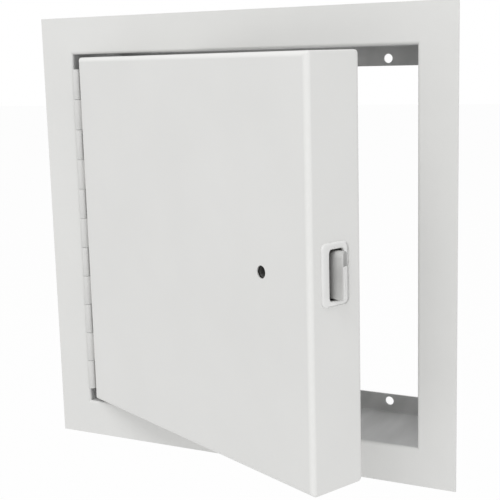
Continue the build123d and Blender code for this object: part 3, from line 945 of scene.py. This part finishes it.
class ACCESS_DOOR_OT_bolt(DoorOperator):
    """Cast the latch bolt with its slant and its top ear, and finish its tail and rivet"""

    bl_idname = "access_door.bolt"
    bl_label = "Latch bolt"

    def execute(self, context):
        latch = context.scene.door_latch
        end, back = bolt_end(latch)
        front = back - latch.bolt_thick
        top = latch.rise + latch.bolt_height / 2
        bolt = start_block(
            "cast_latch_bolt", (end - latch.bolt_length, front, top - latch.bolt_height),
            (end, back, top),
        )
        edit()
        pick("edges", lambda line: middle(line).z > top - SAME and runs_along(line, 0))
        bpy.ops.mesh.bevel(offset=latch.bolt_round, segments=6, affect="EDGES")
        leave()
        ear_low = top - latch.ear_height
        for low, high, tip_flat in (
            (top - latch.bolt_height - OVERSHOOT, ear_low, latch.bolt_tip),
            (ear_low, top + OVERSHOOT, latch.ear_tip),
        ):
            self.slant(bolt, *bolt_slant(latch, tip_flat), low, high)
        self.cut_tenon(bolt, latch, front)
        soften(bolt, 0.0005, 3, 25)
        settle(bolt, LEAF_PLACE, "bolt", "bolt_metal", "latch_bolt")
        coat_nodes("zinc_plated_steel", "bolt_tail", "tail_rivet")
        return {"FINISHED"}

    def slant(self, bolt, tip, start, low, high):
        """Cut one band of the bolt by a slanted plane from its tip back to the bezel."""
        reach = 0.03
        cutter = start_block("slant_cutter", (-reach, 0, low), (reach, reach, high))
        angle = Vector((0, 1)).angle_signed(slant_normal(tip, start))
        cutter.matrix_world = Matrix.Translation(tip.to_3d()) @ Matrix.Rotation(-angle, 4, "Z")
        combine(bolt, cutter)

    def cut_tenon(self, bolt, latch, front):
        """Open the slot at the rear of the nose for the tail, and the rivet's hole."""
        rivet_low, rivet_high = leaf_box("tail_rivet")
        rivet_x, _, rivet_z = (rivet_low + rivet_high) / 2
        low, high = box_of([point for point in leaf_points("bolt_tail") if point.x > rivet_x])
        low.x = rivet_x - latch.bolt_length
        combine(bolt, start_block("tenon_cutter", low, high))
        hole = start_rod(
            "rivet_cutter", (rivet_high.x - rivet_low.x) / 2,
            (rivet_x, front - OVERSHOOT, rivet_z),
            (rivet_x, front + latch.bolt_thick + OVERSHOOT, rivet_z), 32,
        )
        combine(bolt, hole)


class ACCESS_DOOR_OT_key_parts(DoorOperator):
    """Turn the key spindle, press the release lever and its screw, and finish what they drive"""

    bl_idname = "access_door.key_parts"
    bl_label = "Key spindle"

    def execute(self, context):
        key = context.scene.door_key
        latch = context.scene.door_latch
        axis_x = latch.leaf_far - key.backset
        lever_front = latch.leaf_thick + key.stand_off
        self.turn_spindle(key, axis_x, lever_front)
        self.press_lever(key, axis_x, lever_front)
        self.turn_screw(key, axis_x, lever_front + key.lever_sheet)
        coat_nodes("zinc_plated_steel", "spindle_crank", "crank_pin", "spindle_clip")
        return {"FINISHED"}

    def turn_spindle(self, key, x, end):
        """Head, journal and clip groove in one bar, with two squares and the hexagon socket."""
        spindle = start_rod(
            "turned_key_spindle", key.spindle / 2, (x, key.front, 0), (x, key.crank_depth, 0)
        )
        clip_low, clip_high = leaf_box("spindle_clip")
        edit()
        pick("faces", lambda face: face.normal.y > 0.99)
        diameter, depth = key.spindle, key.crank_depth
        for new_diameter, new_depth in (
            (key.journal, clip_low.y), (key.groove, clip_high.y), (key.journal, end),
        ):
            self.step_in(x, new_diameter / diameter, new_depth - depth)
            diameter, depth = new_diameter, new_depth
        leave()
        # The rear square ends inside the lever, so that the screw clamps the lever
        inside_lever = end + 0.93 * key.lever_sheet
        for across, low, high in (
            (key.crank_square, key.crank_depth, key.crank_depth + key.crank_sheet),
            (key.lever_square, end, inside_lever),
        ):
            half = across / 2
            square = start_block("spindle_square", (x - half, low, -half), (x + half, high, half))
            combine(spindle, square, "UNION")
        socket = start_rod(
            "socket_cutter", key.socket / 2 / cos(pi / 6), (x, 0, 0),
            (x, key.front + key.socket_depth, 0), 6,
        )
        combine(spindle, socket)
        hole = start_rod(
            "thread_cutter", key.screw / 2, (x, end + key.lever_sheet - key.screw_length, 0),
            (x, end + 2 * key.lever_sheet, 0), 32,
        )
        combine(spindle, hole)
        soften(spindle, 0.00025)
        settle(spindle, LEAF_PLACE, "key", "blackened_steel", "key_spindle")

    def step_in(self, x, ratio, length_on):
        """Make a shoulder at the chosen end face and draw the bar on from there."""
        extrude(0, 0, 0)
        bpy.ops.transform.resize(value=(ratio, 1, ratio), center_override=(x, 0, 0))
        extrude(0, length_on, 0)

    def press_lever(self, key, x, front):
        """Arm, bent finger tab and round hub of one pressed sheet."""
        half = key.lever_width / 2
        straight = key.lever_length - key.lever_bend
        back, tab_end = front + key.lever_sheet, front + key.lever_tab
        lever = start_block(
            "pressed_release_lever", (x - half, front, -straight), (x + half, back, 0)
        )
        edit()
        pick("faces", lambda face: face.normal.z < -0.99)
        bpy.ops.mesh.spin(
            steps=10, angle=pi / 2, center=(x, front + key.lever_bend, -straight), axis=(-1, 0, 0)
        )
        extrude(0, key.lever_tab - key.lever_bend, 0)
        pick("edges", lambda line: middle(line).y > tab_end - SAME and runs_along(line, 2))
        bpy.ops.mesh.bevel(offset=key.lever_width / 3, segments=6, affect="EDGES")
        leave()
        hub = start_rod("lever_hub", key.lever_hub / 2, (x, front, 0), (x, back, 0), 64)
        combine(lever, hub, "UNION")
        half = key.lever_square / 2
        square = start_block(
            "lever_square", (x - half, front - OVERSHOOT, -half), (x + half, back + OVERSHOOT, half)
        )
        combine(lever, square)
        soften(lever, 0.0004, 3)
        settle(lever, LEAF_PLACE, "key", "zinc_plated_steel", "release_lever")

    def turn_screw(self, key, x, seat):
        """Slotted screw with a rounded head, its shank in the spindle."""
        top = seat + key.screw_rise
        screw = start_rod("slotted_lever_screw", key.screw_head / 2, (x, seat, 0), (x, top, 0))
        edit()
        pick("faces", lambda face: face.normal.y < -0.99)
        self.step_in(x, key.screw / key.screw_head, -key.screw_length)
        pick("edges", lambda line: all(corner.co.y > top - SAME for corner in line.verts))
        bpy.ops.mesh.bevel(offset=key.screw_rise / 2, segments=5, affect="EDGES")
        leave()
        half = key.screw_slot / 2
        slot = start_block(
            "slot_cutter", (x - half, top - key.screw_slot, -key.screw_head),
            (x + half, top + key.screw_slot, key.screw_head),
        )
        combine(screw, slot)
        soften(screw, 0.00012)
        settle(screw, LEAF_PLACE, "key", "zinc_plated_steel", "lever_screw")


class ACCESS_DOOR_OT_case(DoorOperator):
    """Finish the latch case, its cover and the bush, and coil the bolt's spring"""

    bl_idname = "access_door.case"
    bl_label = "Latch case"

    def execute(self, context):
        coat_nodes("galvanised_steel", "latch_case", "latch_case_cover")
        coat_nodes("bronze", "key_bush")
        self.coil_spring(context.scene.door_latch)
        return {"FINISHED"}

    def coil_spring(self, latch):
        """A ring of the wire's section, screwed along the bolt's travel and closed at its ends."""
        low, high = leaf_box("bolt_spring")
        wire = latch.spring_wire
        coil_length = leaf_box("bolt_tail")[0].x - low.x - wire
        spring = start_piece(
            "coiled_bolt_spring", bpy.ops.mesh.primitive_circle_add, vertices=12, radius=wire / 2,
            location=(0, 0, (high.z - low.z - wire) / 2), rotation=(pi / 2, 0, 0),
        )
        modify(
            spring, "SCREW", axis="X", angle=2 * pi, screw_offset=coil_length / latch.spring_turns,
            iterations=latch.spring_turns, steps=24, render_steps=24,
        )
        edit()
        bpy.ops.mesh.fill_holes(sides=0)
        leave()
        smooth(60)
        anchor = Vector((low.x, (low.y + high.y) / 2, (low.z + high.z) / 2))
        start = anchor + Vector((wire / 2, 0, 0))
        place = LEAF_PLACE @ Matrix.Translation(start)
        settle(spring, place, "leaf", "spring_steel", "bolt_spring")
        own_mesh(spring)


OPERATORS = (
    ACCESS_DOOR_OT_stage, ACCESS_DOOR_OT_frame, ACCESS_DOOR_OT_hinge, ACCESS_DOOR_OT_leaf,
    ACCESS_DOOR_OT_bezel, ACCESS_DOOR_OT_bolt, ACCESS_DOOR_OT_key_parts, ACCESS_DOOR_OT_case,
)
GROUPS = {
    "door_hinge": AccessDoorHingeSizes, "door_latch": AccessDoorLatchSizes,
    "door_key": AccessDoorKeySizes, "door_finishes": AccessDoorFinishes,
    "door_stage": AccessDoorStage,
}


class ACCESS_DOOR_PT_panel(bpy.types.Panel):
    """Sizes, colours and pieces of the access door"""

    bl_idname = "ACCESS_DOOR_PT_panel"
    bl_label = "Access door"
    bl_space_type = "VIEW_3D"
    bl_region_type = "UI"
    bl_category = "Access door"

    def draw(self, context):
        layout = self.layout
        for operator in OPERATORS:
            layout.operator(operator.bl_idname)
        for name, group in GROUPS.items():
            box = layout.box()
            for prop in group.__annotations__:
                box.prop(getattr(context.scene, name), prop)


def register():
    """Register the classes and the scene's values."""
    for name, group in GROUPS.items():
        bpy.utils.register_class(group)
        setattr(bpy.types.Scene, name, PointerProperty(type=group))
    for operator in (*OPERATORS, ACCESS_DOOR_PT_panel):
        bpy.utils.register_class(operator)


def unregister():
    """Take the classes and the scene's values away."""
    for operator in reversed((*OPERATORS, ACCESS_DOOR_PT_panel)):
        bpy.utils.unregister_class(operator)
    for name, group in GROUPS.items():
        delattr(bpy.types.Scene, name)
        bpy.utils.unregister_class(group)


def main():
    """Build the dressed door."""
    register()
    bpy.ops.access_door.stage()
    bpy.ops.access_door.frame()
    bpy.ops.access_door.hinge()
    bpy.ops.access_door.leaf()
    bpy.ops.access_door.bezel()
    bpy.ops.access_door.bolt()
    bpy.ops.access_door.key_parts()
    bpy.ops.access_door.case()


if __name__ == "__main__":
    main()
